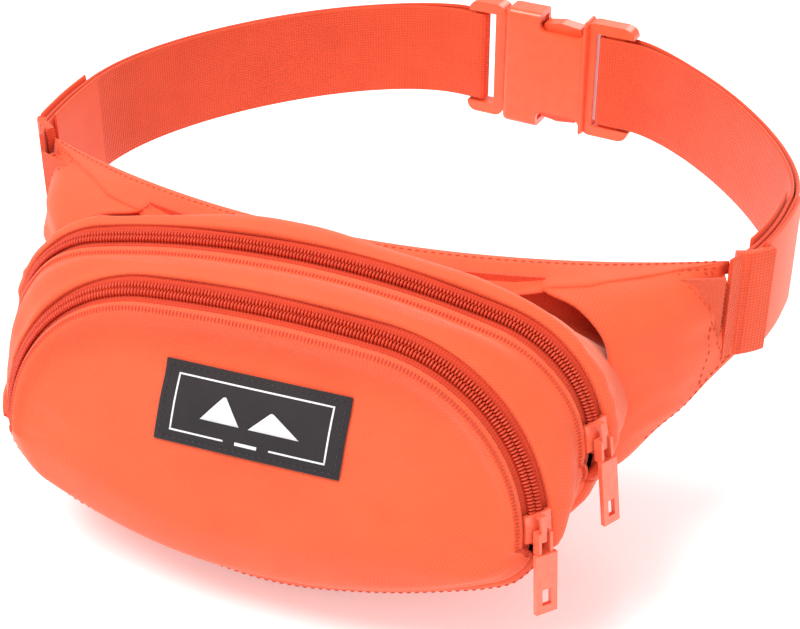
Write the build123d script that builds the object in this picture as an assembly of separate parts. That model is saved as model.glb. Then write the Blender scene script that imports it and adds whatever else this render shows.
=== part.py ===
# Hip pack: a curved back pad with two side wings, a two-pocket fabric body with two
# coil zips, and a webbing belt closed by a side-release buckle behind the waist.
# Millimetres. +X is the right-hand wing, the pack's front faces -Y, +Z is up.
# The origin is the centre of the back pad's rear face, at the height of the belt.
from build123d import *
import math
import os

os.makedirs("parts", exist_ok=True)

# ---- driving dimensions -------------------------------------------------------------
BACK_CURVE = 0.0019          # back pad plan curve: y = BACK_CURVE * x * x
MESH_T = 1.5                 # rear mesh thickness
FOAM_T = 6.0                 # back foam thickness
LINING_T = 1.0               # back lining thickness
PAD_T = MESH_T + FOAM_T + LINING_T
WING_X = 122.5               # half width over the two wings
EDGE_TOP = 13.0              # top edge height
WING_LOW = -16.0             # lower end of a wing tip
FABRIC_T = 1.2               # body fabric thickness
WEB_H = 38.0                 # belt webbing width
WEB_T = 1.5                  # belt webbing thickness
BUCKLE_C = (19.0, 181.0)     # buckle centre in plan
BUCKLE_TURN = -7.0           # buckle turn about Z, degrees
BAR_R = 1.5                  # buckle bar radius
LABEL = (61.0, 25.0, 0.8)    # label width, height, thickness
CLEAR = 0.1                  # clearance left between neighbouring soft parts

# Each body section: y at z = 0, lean dy/dz, half width, z of the widest point,
# rise above it, drop below it, upper corner radius, lower corner radius.
SECTIONS = [
    (24.0, 0.0, 97.0, -22.0, 36.0, 40.0, 22.0, 26.0),
    (-9.0, 0.0, 99.0, -22.0, 36.0, 40.0, 22.0, 26.0),
    (-24.0, 0.04, 101.0, -20.0, 50.0, 47.0, 38.0, 33.0),
    (-38.4, 0.085, 98.5, -18.5, 46.8, 50.0, 40.0, 35.0),
    (-50.8, 0.12, 95.0, -26.0, 52.5, 45.0, 48.0, 27.0),
    (-61.3, 0.15, 89.0, -35.5, 57.5, 25.5, 56.0, 15.0),
    (-63.0, 0.28, 78.0, -36.0, 45.0, 18.0, 43.0, 11.0),
    (-62.0, 0.47, 58.0, -28.0, 29.0, 13.0, 26.0, 9.0),
]

# Each zip: section it lies in, tilt of the tape, slider angle round the right corner.
MAIN_ZIP = {"sec": SECTIONS[3], "tilt": 30.0, "at": 9.0}
POCKET_ZIP = {"sec": SECTIONS[5], "tilt": 40.0, "at": 6.0}
SLIDER_LEN = 9.0             # slider length along the chain
GAP = 5.2                    # half width of the slot left for a zip chain


# ---- plan and section helpers -------------------------------------------------------
def arc_pts(cx, cy, r, a0, a1, n):
    """Points of an arc, without the last one."""
    out = []
    for i in range(n):
        t = math.radians(a0 + (a1 - a0) * i / n)
        out.append((cx + r * math.cos(t), cy + r * math.sin(t)))
    return out


def crown(a, h, r):
    """Centre drop, radius and meeting angle of the flat arc between two corner arcs."""
    q = ((a - r) ** 2 - (h - r) ** 2) / (2.0 * (h - r))
    return q, q + h, math.degrees(math.atan2(q, a - r))


def oval(a, up, down, r_up, r_down):
    """Closed outline made of six tangent arcs."""
    q, rt, ang = crown(a, up, r_up)
    pts = arc_pts(a - r_up, 0, r_up, 0, ang, 6)
    pts += arc_pts(0, -q, rt, ang, 180 - ang, 10)
    pts += arc_pts(-(a - r_up), 0, r_up, 180 - ang, 180, 6)
    q, rb, ang = crown(a, down, r_down)
    pts += arc_pts(-(a - r_down), 0, r_down, 180, 180 + ang, 6)
    pts += arc_pts(0, q, rb, 180 + ang, 360 - ang, 10)
    pts += arc_pts(a - r_down, 0, r_down, 360 - ang, 360, 6)
    return pts


def section_wire(sec, inset, push):
    """One body section as a closed wire, inset by a thickness and pushed back."""
    y0, lean, a, zc, up, down, r_up, r_down = sec
    pts = []
    for x, v in oval(a - inset, up - inset, down - inset, r_up - inset, r_down - inset):
        z = zc + v
        pts.append((x, y0 + push + lean * z, z))
    return Wire([Edge.make_spline([Vector(*p) for p in pts], periodic=True)])


def body_solid(inset):
    """The filled body, inset by a thickness; an inset body also runs further back."""
    wires = []
    for i, sec in enumerate(SECTIONS):
        push = inset if i > 5 else 0.0
        wires.append(section_wire(sec, inset, 4.0 if i == 0 and inset > 0 else push))
    return Solid.make_loft(wires, True)


def plan_curve(x0, x1, offset):
    """Edge along the back pad curve, moved forward by an offset."""
    pts = []
    for i in range(13):
        x = x0 + (x1 - x0) * i / 12.0
        pts.append(Vector(x, BACK_CURVE * x * x - offset, 0))
    return Edge.make_spline(pts)


def plan_band(x0, x1, near, far, z0, z1):
    """Slab following the back pad curve between two forward offsets."""
    e1 = plan_curve(x0, x1, near)
    e2 = plan_curve(x0, x1, far)
    l1 = Edge.make_line(e1.position_at(1), e2.position_at(1))
    l2 = Edge.make_line(e1.position_at(0), e2.position_at(0))
    face = Face(Wire([e1, l1, e2, l2]))
    return extrude(face, z1 - z0, dir=(0, 0, 1)).moved(Location((0, 0, z0)))


def back_outline(grow):
    """Prism of the pad's front-view outline, wings included."""
    w = WING_X + grow
    low = WING_LOW - grow
    base = -61.0 - grow
    side = Edge.make_spline(
        [
            Vector(w, 0, low),
            Vector(w - 8.0, 0, low - 14.0),
            Vector(w - 22.0, 0, low - 29.0),
            Vector(w - 46.0, 0, low - 40.0),
            Vector(40.0, 0, base + 0.8),
            Vector(0, 0, base),
            Vector(-40.0, 0, base + 0.8),
            Vector(-w + 46.0, 0, low - 40.0),
            Vector(-w + 22.0, 0, low - 29.0),
            Vector(-w + 8.0, 0, low - 14.0),
            Vector(-w, 0, low),
        ]
    )
    top = EDGE_TOP + grow
    lines = [
        side,
        Edge.make_line((-w, 0, low), (-w, 0, top)),
        Edge.make_line((-w, 0, top), (w, 0, top)),
        Edge.make_line((w, 0, top), (w, 0, low)),
    ]
    face = Face(Wire(lines))
    return extrude(face, 160, dir=(0, 1, 0)).moved(Location((0, -100, 0)))


# ---- zip helpers --------------------------------------------------------------------
def zip_plane(z):
    """Plane holding a zip line: local x across the pack, y up, z forward."""
    y0, lean, a, zc, up, down, r_up, r_down = z["sec"]
    return Plane(origin=(0, y0 + lean * zc, zc), x_dir=(1, 0, 0), z_dir=(0, -1, lean))


def profile(radius, tilt, pts):
    """Cross-section of a zip part: pts are (height, across) about the zip line."""
    c = math.cos(math.radians(tilt))
    s = math.sin(math.radians(tilt))
    out = [Vector(radius + r * c - n * s, 0, r * s + n * c) for r, n in pts]
    return Face(Wire.make_polygon(out, close=True))


def rect(r0, r1, n0, n1):
    return [(r0, n0), (r1, n0), (r1, n1), (r0, n1)]


def corner_piece(z, pts, a0, a1):
    """Part of a zip that follows the right-hand corner arc."""
    y0, lean, a, zc, up, down, r_up, r_down = z["sec"]
    face = profile(r_up, z["tilt"], pts)
    ring = revolve(face, Axis((0, 0, 0), (0, 0, 1)), revolution_arc=a1 - a0)
    ring = ring.rotate(Axis((0, 0, 0), (0, 0, 1)), a0)
    return ring.moved(Location((a - r_up, 0, 0)))


def zip_run(z, pts, start):
    """Part of a zip that follows the whole chain from corner to corner."""
    y0, lean, a, zc, up, down, r_up, r_down = z["sec"]
    q, rt, ang = crown(a, up, r_up)
    right = corner_piece(z, pts, start, ang)
    face = profile(rt, z["tilt"], pts)
    mid = revolve(face, Axis((0, 0, 0), (0, 0, 1)), revolution_arc=180 - 2 * ang)
    mid = mid.rotate(Axis((0, 0, 0), (0, 0, 1)), ang).moved(Location((0, -q, 0)))
    left = corner_piece(z, pts, 0, ang).mirror(Plane.YZ)
    whole = right + mid + left
    return whole.moved(zip_plane(z).location)


def slider_half_angle(z):
    r_up = z["sec"][6]
    return math.degrees(SLIDER_LEN / 2.0 / r_up)


def slider(z):
    """Zip slider: two plates with side flanges, a post between the coils and a crown."""
    h = slider_half_angle(z)
    a0 = z["at"] - h
    a1 = z["at"] + h
    body = corner_piece(z, rect(0.2, 1.2, -4.4, 4.4), a0, a1)
    body += corner_piece(z, rect(-4.4, -3.4, -4.4, 4.4), a0, a1)
    for s in (-1, 1):
        body += corner_piece(z, rect(-0.7, 0.3, s * 2.8, s * 4.4), a0, a1)
        body += corner_piece(z, rect(-3.5, -2.5, s * 2.8, s * 4.4), a0, a1)
    body += corner_piece(z, rect(-3.5, 0.3, -0.35, 0.35), a0, a1)
    leg = math.degrees(1.2 / z["sec"][6])
    low = a0 + math.degrees(1.0 / z["sec"][6])
    high = a1 - leg
    body += corner_piece(z, rect(1.1, 3.9, -1.0, 1.0), low, low + leg)
    body += corner_piece(z, rect(1.1, 3.9, -1.0, 1.0), high, high + leg)
    body += corner_piece(z, rect(3.1, 4.1, -1.0, 1.0), low, high + leg)
    return body.moved(zip_plane(z).location)


def pivot_local(z):
    """Pull pivot in the zip plane: radius, angle and tilted frame."""
    r_up = z["sec"][6]
    ang = z["at"] - slider_half_angle(z) + math.degrees(3.6 / r_up)
    return r_up, ang


def pull_frame(z):
    """Location whose origin is the pull pivot, z across the chain, x out of the fabric."""
    y0, lean, a, zc, up, down, r_up, r_down = z["sec"]
    r, ang = pivot_local(z)
    t = math.radians(ang)
    p = math.radians(z["tilt"])
    k = r + 2.1 * math.cos(p)
    o = Vector(a - r_up + k * math.cos(t), k * math.sin(t), 2.1 * math.sin(p))
    x = Vector(math.cos(p) * math.cos(t), math.cos(p) * math.sin(t), math.sin(p))
    w = Vector(-math.sin(p) * math.cos(t), -math.sin(p) * math.sin(t), math.cos(p))
    local = Plane(origin=o, x_dir=x, z_dir=w)
    return zip_plane(z).location * local.location


def pull(z, length, width):
    """Pull tab: a small pivot bar under the crown, two arms and a long plate with a hole."""
    bar = Pos(0, 0, 0) * Cylinder(0.6, 4.2, rotation=(0, 0, 0))
    body = bar
    for s in (-1, 1):
        body += Pos(1.3, -3.0, s * 1.95) * Box(3.2, 7.2, 0.9)
    body += Pos(2.6, -length / 2.0 - 3.4, 0) * Box(1.6, length - 5.2, width)
    hole = Pos(2.6, -length + 4.6, 0) * Box(4, 5.4, width * 0.42)
    body -= hole
    return body.moved(pull_frame(z))


# ---- belt helpers -------------------------------------------------------------------
def bezier(p0, p1, p2, p3, n):
    out = []
    for i in range(n):
        t = i / n
        u = 1 - t
        x = u ** 3 * p0[0] + 3 * u * u * t * p1[0] + 3 * u * t * t * p2[0] + t ** 3 * p3[0]
        y = u ** 3 * p0[1] + 3 * u * u * t * p1[1] + 3 * u * t * t * p2[1] + t ** 3 * p3[1]
        out.append((x, y))
    return out


def buckle_to_plan(x, y):
    """Buckle coordinates (x along the belt, y away from the waist) to plan coordinates."""
    c = math.cos(math.radians(BUCKLE_TURN))
    s = math.sin(math.radians(BUCKLE_TURN))
    return (BUCKLE_C[0] + x * c - y * s, BUCKLE_C[1] + x * s + y * c)


BAR_X = 24.0                 # webbing loop centre to buckle centre, socket side
PLUG_BAR_X = -31.3           # webbing loop centre to buckle centre, plug side
FLAT = 10.0                  # straight run of webbing beside each bar
INNER_Y = -(BAR_R + 0.3 + WEB_T)


def belt_line(side):
    """Inner face of the belt in plan, from the wing to the buckle bar."""
    if side > 0:
        end = buckle_to_plan(BAR_X + FLAT, INNER_Y)
        pts = bezier((132.6, 70.0), (133.5, 106.0), (end[0] + 26.0, end[1] - 3.2), end, 12)
    else:
        end = buckle_to_plan(PLUG_BAR_X - FLAT, INNER_Y)
        pts = bezier((-128.0, 69.0), (-128.0, 118.0), (end[0] - 40.0, end[1] + 3.0), end, 12)
    lead = [(116.0 * side, 8.0), (121.0 * side, 14.5), (124.2 * side, 22.0)]
    if side > 0:
        lead += [(126.4, 31.0), (129.8, 43.0), (131.8, 56.0)]
    else:
        lead += [(-125.2, 31.0), (-126.9, 43.0), (-127.9, 56.0)]
    bar = BAR_X if side > 0 else PLUG_BAR_X
    return lead + pts + [end, buckle_to_plan(bar, INNER_Y)]


def belt_spread(d):
    """Gap between the two webbing layers at a distance from the bar."""
    k = min(1.0, max(0.0, 1.0 - (d - FLAT) / 36.0))
    return 0.4 + (2.0 * BAR_R + 0.2) * k * k


def belt_frame(side):
    """Points, outward normals and distance to the bar along the belt."""
    pts = belt_line(side)
    out = []
    n = len(pts)
    for i in range(n):
        a = pts[max(i - 1, 0)]
        b = pts[min(i + 1, n - 1)]
        dx = b[0] - a[0]
        dy = b[1] - a[1]
        m = math.hypot(dx, dy)
        nx = side * dy / m
        ny = -side * dx / m
        d = math.hypot(pts[-1][0] - pts[i][0], pts[-1][1] - pts[i][1])
        out.append((pts[i][0], pts[i][1], nx, ny, d))
    last = buckle_to_plan(0, 1)
    first = buckle_to_plan(0, 0)
    x, y, nx, ny, d = out[-1]
    out[-1] = (x, y, last[0] - first[0], last[1] - first[1], d)
    return out


def belt_layer(side, i0, i1, low, high, half):
    """Band of webbing between two offsets from the inner face of the belt."""
    fr = belt_frame(side)[i0:i1]
    inner = []
    outer = []
    for x, y, nx, ny, d in fr:
        g = belt_spread(d)
        a = low(g)
        b = high(g)
        inner.append(Vector(x + nx * a, y + ny * a, -half))
        outer.append(Vector(x + nx * b, y + ny * b, -half))
    e1 = Edge.make_spline(inner)
    e2 = Edge.make_spline(outer)
    l1 = Edge.make_line(e1.position_at(0), e2.position_at(0))
    l2 = Edge.make_line(e1.position_at(1), e2.position_at(1))
    return extrude(Face(Wire([e1, l2, e2, l1])), 2 * half, dir=(0, 0, 1))


def strap(side):
    """One webbing: sewn into the wing, round the buckle bar and back to a folded hem."""
    n = len(belt_line(side))
    main = belt_layer(side, 0, n, lambda g: 0.0, lambda g: WEB_T, WEB_H / 2)
    tail = belt_layer(side, 2, n, lambda g: WEB_T + g, lambda g: 2 * WEB_T + g, WEB_H / 2)
    bar = BAR_X if side > 0 else PLUG_BAR_X
    ring = Cylinder(BAR_R + 0.3 + WEB_T, WEB_H) - Cylinder(BAR_R + 0.3, WEB_H)
    cut = Pos(side * 5.0, 0, 0) * Box(10, 10, WEB_H)
    loop = (Pos(bar, 0, 0) * (ring - cut)).moved(BUCKLE_AT)
    hem = Pos(side * 130.6, 26.1, 0) * Box(7.8, 3.2, WEB_H)
    return main + tail + loop + hem


def keeper(side):
    """Smooth sleeve that holds the doubled webbing against the wing tip."""
    outer = belt_layer(side, 3, 7, lambda g: -1.5, lambda g: 2 * WEB_T + g + 1.5, 20.6)
    inner = belt_layer(side, 3, 7, lambda g: -0.4, lambda g: 2 * WEB_T + g + 0.4, 19.4)
    return outer - inner


# ---- buckle -------------------------------------------------------------------------
BUCKLE_AT = Location((BUCKLE_C[0], BUCKLE_C[1], 0), (0, 0, BUCKLE_TURN))


def buckle_socket():
    """Receiving half: hollow shell with two side windows and a webbing bar."""
    shell = fillet((Pos(-1.0, 0, 0) * Box(36, 12, 50)).edges(), 2.4)
    shell -= Pos(5.5, 0, 0) * Box(20, 7.6, 45)
    shell -= Pos(-8.0, 0, 0) * Box(24, 7.6, 38.4)
    for s in (-1, 1):
        window = Pos(6.0, 0, s * 23.5) * Box(19, 14, 12)
        shell -= fillet(window.edges().filter_by(Axis.Y), 3.0)
    frame = fillet((Pos(25.5, 0, 0) * Box(21, 6, 49)).edges().filter_by(Axis.Y), 4.5)
    frame -= Pos(32.0, 0, 0) * Box(24.0, 8, 40.4)
    bar = Pos(BAR_X, 0, 0) * Cylinder(BAR_R, 44)
    bar += Pos(BAR_X + 3.5, 0, 0) * Box(7.0, 2 * BAR_R, 44)
    return (shell + frame + bar).moved(BUCKLE_AT)


def buckle_plug():
    """Inserted half: webbing frame, shoulder and centre guide tongue."""
    frame = fillet((Pos(-27.6, 0, 0) * Box(16.4, 7, 49)).edges().filter_by(Axis.Y), 4.0)
    frame -= Pos(-34.0, 0, 0) * Box(20.4, 9, 40.4)
    bar = Pos(PLUG_BAR_X, 0, 0) * Cylinder(BAR_R, 44)
    tongue = Pos(-4.4, 0, 0) * Box(31, 3.6, 9)
    neck = Pos(-19.0, 0, 0) * Box(2.6, 6.0, 37)
    return (frame + bar + tongue + neck).moved(BUCKLE_AT)


def prong(side):
    """Springy side arm with its rounded release pad."""
    pts = [(-17.2, 15.5), (-4.0, 14.5), (2.0, 13.5), (12.0, 12.5), (15.0, 16.0)]
    pts += [(13.0, 20.6), (5.0, 21.6), (-2.6, 20.4), (-2.6, 17.8), (-17.6, 18.6)]
    wire = Wire.make_polygon([Vector(x, -2.9, side * z) for x, z in pts], close=True)
    solid = extrude(Face(wire), 5.8, dir=(0, 1, 0))
    solid = fillet(solid.edges().filter_by(Axis.Y).group_by(Axis.X)[-1], 1.2)
    return solid.moved(BUCKLE_AT)


# ---- build --------------------------------------------------------------------------
def save(name, shape):
    solids = shape.solids()
    big = max(s.volume for s in solids)
    keep = [s for s in solids if s.volume > 0.02 * big]
    print(name, len(keep), "solids", round(sum(s.volume for s in keep), 1), "mm3")
    export_step(keep[0] if len(keep) == 1 else Compound(children=keep), "parts/" + name + ".step")
    return shape


outer = body_solid(0.0)
inner = body_solid(FABRIC_T)
in_front = plan_band(-140, 140, PAD_T + CLEAR, 260, -120, 120)
shell = (outer - inner) & in_front

outline = back_outline(0.0)
save("back_mesh", plan_band(-130, 130, 0.0, MESH_T, -80, 40) & outline)
save("back_foam", plan_band(-130, 130, MESH_T, MESH_T + FOAM_T, -80, 40) & outline)
save("back_lining", plan_band(-130, 130, MESH_T + FOAM_T, PAD_T, -80, 40) & outline)

# body panels, split at the two zip planes and at the zip ends
slots = zip_run(MAIN_ZIP, rect(-9, 9, -GAP, GAP), -9.0)
slots_p = zip_run(POCKET_ZIP, rect(-9, 9, -GAP, GAP), -7.0)
main_at = zip_plane(MAIN_ZIP).location
pocket_at = zip_plane(POCKET_ZIP).location
front_of_main = (Pos(0, 0, 150) * Box(400, 400, 300)).moved(main_at)
front_of_pocket = (Pos(0, 0, 150) * Box(400, 400, 300)).moved(pocket_at)
above_main = Pos(0, 0, 200 + MAIN_ZIP["sec"][3] - 6.5) * Box(500, 500, 400)
above_pocket = Pos(0, 0, 200 + POCKET_ZIP["sec"][3] + 2.0) * Box(500, 500, 400)

panels = shell - slots - slots_p
rear = panels - front_of_main
between = (panels & front_of_main) - front_of_pocket
front = panels & front_of_pocket
top_panel = save("top_panel", rear & above_main)
middle_panel = save("middle_panel", between & above_pocket)
gusset = save("bottom_gusset", (rear - above_main) + (between - above_pocket))
front_panel = save("front_panel", front)

# zip coils, and the tapes that carry them, between the edges of the fabric
for name, z in (("main", MAIN_ZIP), ("pocket", POCKET_ZIP)):
    start = -4.0
    for word, s in (("upper", -1), ("lower", 1)):
        coil = zip_run(z, rect(-2.9, -0.4, s * 0.75, s * 2.4), start)
        save(name + "_coil_" + word, coil)
        save(name + "_tape_" + word, zip_run(z, rect(-2.0, -1.3, s * 2.4, s * 5.0), start))
    save(name + "_slider", slider(z))

save("main_pull", pull(MAIN_ZIP, 27.0, 6.4))
save("pocket_pull", pull(POCKET_ZIP, 25.0, 7.4))

# divider between the main compartment and the front pocket
core = body_solid(FABRIC_T + 2.6)
sheet = (Pos(0, 0, -7.6) * Box(300, 300, 0.8)).moved(pocket_at)
save("pocket_divider", core & sheet)

# label on the front panel
tilt = math.degrees(math.atan(SECTIONS[7][1]))
spot = Location((0, SECTIONS[7][0] + SECTIONS[7][1] * -12.0, -12.0), (-tilt, 0, 0))
plate = Pos(0, -LABEL[2] / 2.0 - CLEAR, 0) * Box(LABEL[0], LABEL[2], LABEL[1])
save("label", plate.moved(spot))

# wings: a fabric front sheet over a foam wedge, either side of the sewn-in webbing
grown = body_solid(-CLEAR)
for word, side in (("right", 1), ("left", -1)):
    sewn = belt_layer(side, 0, 4, lambda g: -CLEAR, lambda g: WEB_T + CLEAR, WEB_H / 2 + CLEAR)
    pts = [(100.0, -22.0), (101.6, -22.6), (124.0, 17.0), (122.5, 18.4)]
    face = Face(Wire.make_polygon([Vector(side * x, y, -80) for x, y in pts], close=True))
    sheet = extrude(face, 120, dir=(0, 0, 1)) & outline & in_front
    save("wing_front_" + word, sheet - grown - sewn)
    pts = [(96.0, -30.0), (99.8, -22.0), (121.6, 17.2), (121.6, 40.0), (96.0, 40.0)]
    face = Face(Wire.make_polygon([Vector(side * x, y, -80) for x, y in pts], close=True))
    wedge = extrude(face, 120, dir=(0, 0, 1)) & back_outline(-1.5) & in_front
    save("wing_foam_" + word, wedge - grown - sewn)
    save("strap_" + word, strap(side))
    save("keeper_" + word, keeper(side))

save("buckle_socket", buckle_socket())
save("buckle_plug", buckle_plug())
save("prong_upper", prong(1))
save("prong_lower", prong(-1))
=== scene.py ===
# %% [markdown]
# # A hip pack on its webbing belt
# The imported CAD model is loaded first. It says where every part is, and this
# script gives each part the look of cloth, webbing, plastic or painted metal.

# %% Load the frame
import math
import bpy
import bmesh
import numpy as np
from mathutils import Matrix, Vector, noise
from mathutils.bvhtree import BVHTree


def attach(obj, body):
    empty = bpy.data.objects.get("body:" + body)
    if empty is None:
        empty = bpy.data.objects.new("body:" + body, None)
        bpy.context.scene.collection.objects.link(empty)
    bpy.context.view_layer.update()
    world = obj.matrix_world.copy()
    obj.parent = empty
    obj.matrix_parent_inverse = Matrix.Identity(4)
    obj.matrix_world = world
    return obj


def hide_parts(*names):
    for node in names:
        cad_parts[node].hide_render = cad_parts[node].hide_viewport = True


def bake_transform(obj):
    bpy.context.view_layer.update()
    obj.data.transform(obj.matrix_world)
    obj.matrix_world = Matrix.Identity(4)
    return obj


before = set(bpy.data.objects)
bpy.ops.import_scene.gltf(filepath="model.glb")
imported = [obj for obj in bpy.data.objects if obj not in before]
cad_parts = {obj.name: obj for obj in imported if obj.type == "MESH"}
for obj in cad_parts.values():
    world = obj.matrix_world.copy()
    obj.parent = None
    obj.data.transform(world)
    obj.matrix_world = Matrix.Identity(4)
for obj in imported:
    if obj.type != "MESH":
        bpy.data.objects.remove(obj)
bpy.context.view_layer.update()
bpy.ops.object.select_all(action="DESELECT")
MM = 0.001

# %% [markdown]
# The body of the pack is a stack of rounded outlines, from the back pad to the
# front face. Each outline is made of six arcs that flow into each other, so one
# short recipe of eight numbers per outline gives the whole shape in millimetres.

# %% Outline recipe
BACK_CURVE = 0.0019
PAD_T = 8.5
SECTIONS = {
    "back": (-9.0, 0.0, 99.0, -22.0, 36.0, 40.0, 9.0, 26.0),
    "crest": (-24.0, 0.04, 101.0, -20.0, 50.0, 47.0, 38.0, 33.0),
    "main": (-38.4, 0.085, 98.5, -18.5, 46.8, 50.0, 40.0, 35.0),
    "middle": (-50.8, 0.12, 95.0, -26.0, 52.5, 45.0, 48.0, 27.0),
    "pocket": (-61.3, 0.15, 89.0, -35.5, 57.5, 25.5, 56.0, 15.0),
    "face": (-63.4, 0.27, 79.0, -36.0, 47.0, 19.5, 44.0, 12.0),
    "flat": (-62.4, 0.50, 58.0, -28.0, 31.0, 17.0, 27.0, 11.0),
}
BELLY = {"main": 2.0, "middle": 5.0, "pocket": 7.0, "face": 6.0, "flat": 3.0}
COLS = 288


def crown(a, h, r):
    """Centre drop, radius and meeting angle of the flat arc between two corners."""
    q = ((a - r) ** 2 - (h - r) ** 2) / (2.0 * (h - r))
    return q, q + h, math.degrees(math.atan2(q, a - r))


def arcs(sec):
    """The six arcs of an outline: centre, radius, first and last angle, share."""
    y0, lean, a, zc, up, down, r_up, r_down = sec
    q, rt, at = crown(a, up, r_up)
    p, rb, ab = crown(a, down, r_down)
    return [
        ((a - r_up, 0), r_up, 0, at, 0.14),
        ((0, -q), rt, at, 180 - at, 0.22),
        ((r_up - a, 0), r_up, 180 - at, 180, 0.14),
        ((r_down - a, 0), r_down, 180, 180 + ab, 0.11),
        ((0, p), rb, 180 + ab, 360 - ab, 0.28),
        ((a - r_down, 0), r_down, 360 - ab, 360, 0.11),
    ]


def along(sec, u):
    """Centre, radius and angle at a share u of the way round an outline."""
    u = u % 1.0
    for centre, radius, a0, a1, share in arcs(sec):
        if u <= share + 1e-9:
            return centre, radius, math.radians(a0 + (a1 - a0) * u / share)
        u -= share
    return centre, radius, math.radians(360.0)


def plane_axes(sec):
    """Origin, up direction and forward normal of an outline's plane."""
    y0, lean, zc = sec[0], sec[1], sec[3]
    m = math.hypot(1.0, lean)
    origin = np.array([0.0, y0 + lean * zc, zc])
    return origin, np.array([0.0, lean / m, 1.0 / m]), np.array([0.0, -1.0 / m, lean / m])


def spot(sec, u, tilt=0.0, rise=0.0, across=0.0):
    """A point by an outline: rise lifts it off the cloth, across moves it forward."""
    centre, radius, t = along(sec, u)
    origin, up, fwd = plane_axes(sec)
    side = np.array([1.0, 0.0, 0.0])
    er = math.cos(t) * side + math.sin(t) * up
    c, s = math.cos(math.radians(tilt)), math.sin(math.radians(tilt))
    out = c * er + s * fwd
    over = -s * er + c * fwd
    base = origin + centre[0] * side + centre[1] * up + radius * er
    belly = next((BELLY[k] for k, v in SECTIONS.items() if v is sec and k in BELLY), 0.0)
    drop = min(1.0, max(0.0, (sec[3] + 6.0 - base[2]) / 22.0))
    sag = belly * drop * max(0.0, 1.0 - (base[0] / sec[2]) ** 2)
    base = base - sag * np.array([0.0, 1.0, 0.65])
    return base + rise * out + across * over


def ring(name, grow=0.0):
    """One full outline as an array of points."""
    return np.array([spot(SECTIONS[name], k / COLS, 0.0, grow) for k in range(COLS)])


print("outline width", ring("crest")[:, 0].max() * 2)

# %% [markdown]
# Two coil zips run over the top of the body. Their slots are about nine
# millimetres wide and close to nothing past the zip ends, where plain seams go on.

# %% Zip facts
ZIPS = {
    "main": {"sec": SECTIONS["main"], "tilt": 30.0, "half": 4.3},
    "pocket": {"sec": SECTIONS["pocket"], "tilt": 40.0, "half": 4.6},
}
U_END = 0.5                      # a zip runs from share 0 to this share


def slot_half(z, u):
    """Half width of the slot at a share of the way round."""
    u = u % 1.0
    past = min(abs(u - U_END), abs(1.0 - u)) if u > U_END else 0.0
    return z["half"] * max(0.0, 1.0 - past / 0.022) if past > 0.008 else z["half"]


def zip_ring(name, rise, across, sign):
    """Ring of points beside a zip, measured from the edge of its slot."""
    z = ZIPS[name]
    out = []
    for k in range(COLS):
        u = k / COLS
        out.append(spot(z["sec"], u, z["tilt"], rise, sign * (slot_half(z, u) + across)))
    return np.array(out)


def pad_ring(name, depth, inset):
    """An outline laid against the back pad at a depth in front of its rear face."""
    pts = ring(name, -inset)
    pts[:, 1] = BACK_CURVE * pts[:, 0] ** 2 - depth
    return pts


# %% [markdown]
# Cloth between two outlines is a net of points. A smooth curve is run through
# the control rings for every column, and a slow ripple moves the points off the
# surface so that the cloth looks filled and handled.

# %% Net helpers
def weave_rows(rings, steps):
    """Smooth rows between control rings, with a Catmull-Rom curve per column."""
    pts = [rings[0] * 2 - rings[1]] + list(rings) + [rings[-1] * 2 - rings[-2]]
    gaps = [max(1e-3, np.sqrt(np.linalg.norm(b - a, axis=1).mean())) for a, b in zip(pts, pts[1:])]
    t = np.concatenate([[0.0], np.cumsum(gaps)])
    rows = []
    for i in range(1, len(pts) - 2):
        n = steps[i - 1]
        for j in range(n):
            x = t[i] + (t[i + 1] - t[i]) * j / n
            p0, p1, p2, p3 = pts[i - 1:i + 3]
            t0, t1, t2, t3 = t[i - 1:i + 3]
            a1 = (t1 - x) / (t1 - t0) * p0 + (x - t0) / (t1 - t0) * p1
            a2 = (t2 - x) / (t2 - t1) * p1 + (x - t1) / (t2 - t1) * p2
            a3 = (t3 - x) / (t3 - t2) * p2 + (x - t2) / (t3 - t2) * p3
            b1 = (t2 - x) / (t2 - t0) * a1 + (x - t0) / (t2 - t0) * a2
            b2 = (t3 - x) / (t3 - t1) * a2 + (x - t1) / (t3 - t1) * a3
            rows.append((t2 - x) / (t2 - t1) * b1 + (x - t1) / (t2 - t1) * b2)
    rows.append(rings[-1])
    return np.array(rows)


def net_normals(net, closed):
    """Outward normals of a net of points."""
    du = np.roll(net, -1, 1) - np.roll(net, 1, 1) if closed else np.gradient(net, axis=1)
    dv = np.gradient(net, axis=0)
    n = np.cross(du, dv)
    n /= np.maximum(np.linalg.norm(n, axis=2, keepdims=True), 1e-9)
    return n


def ripple(p, size, seed):
    """Slow noise from -1 to 1 at a point given in millimetres."""
    return noise.noise(Vector((p[0] / size[0] + seed, p[1] / size[1], p[2] / size[2])))


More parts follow.
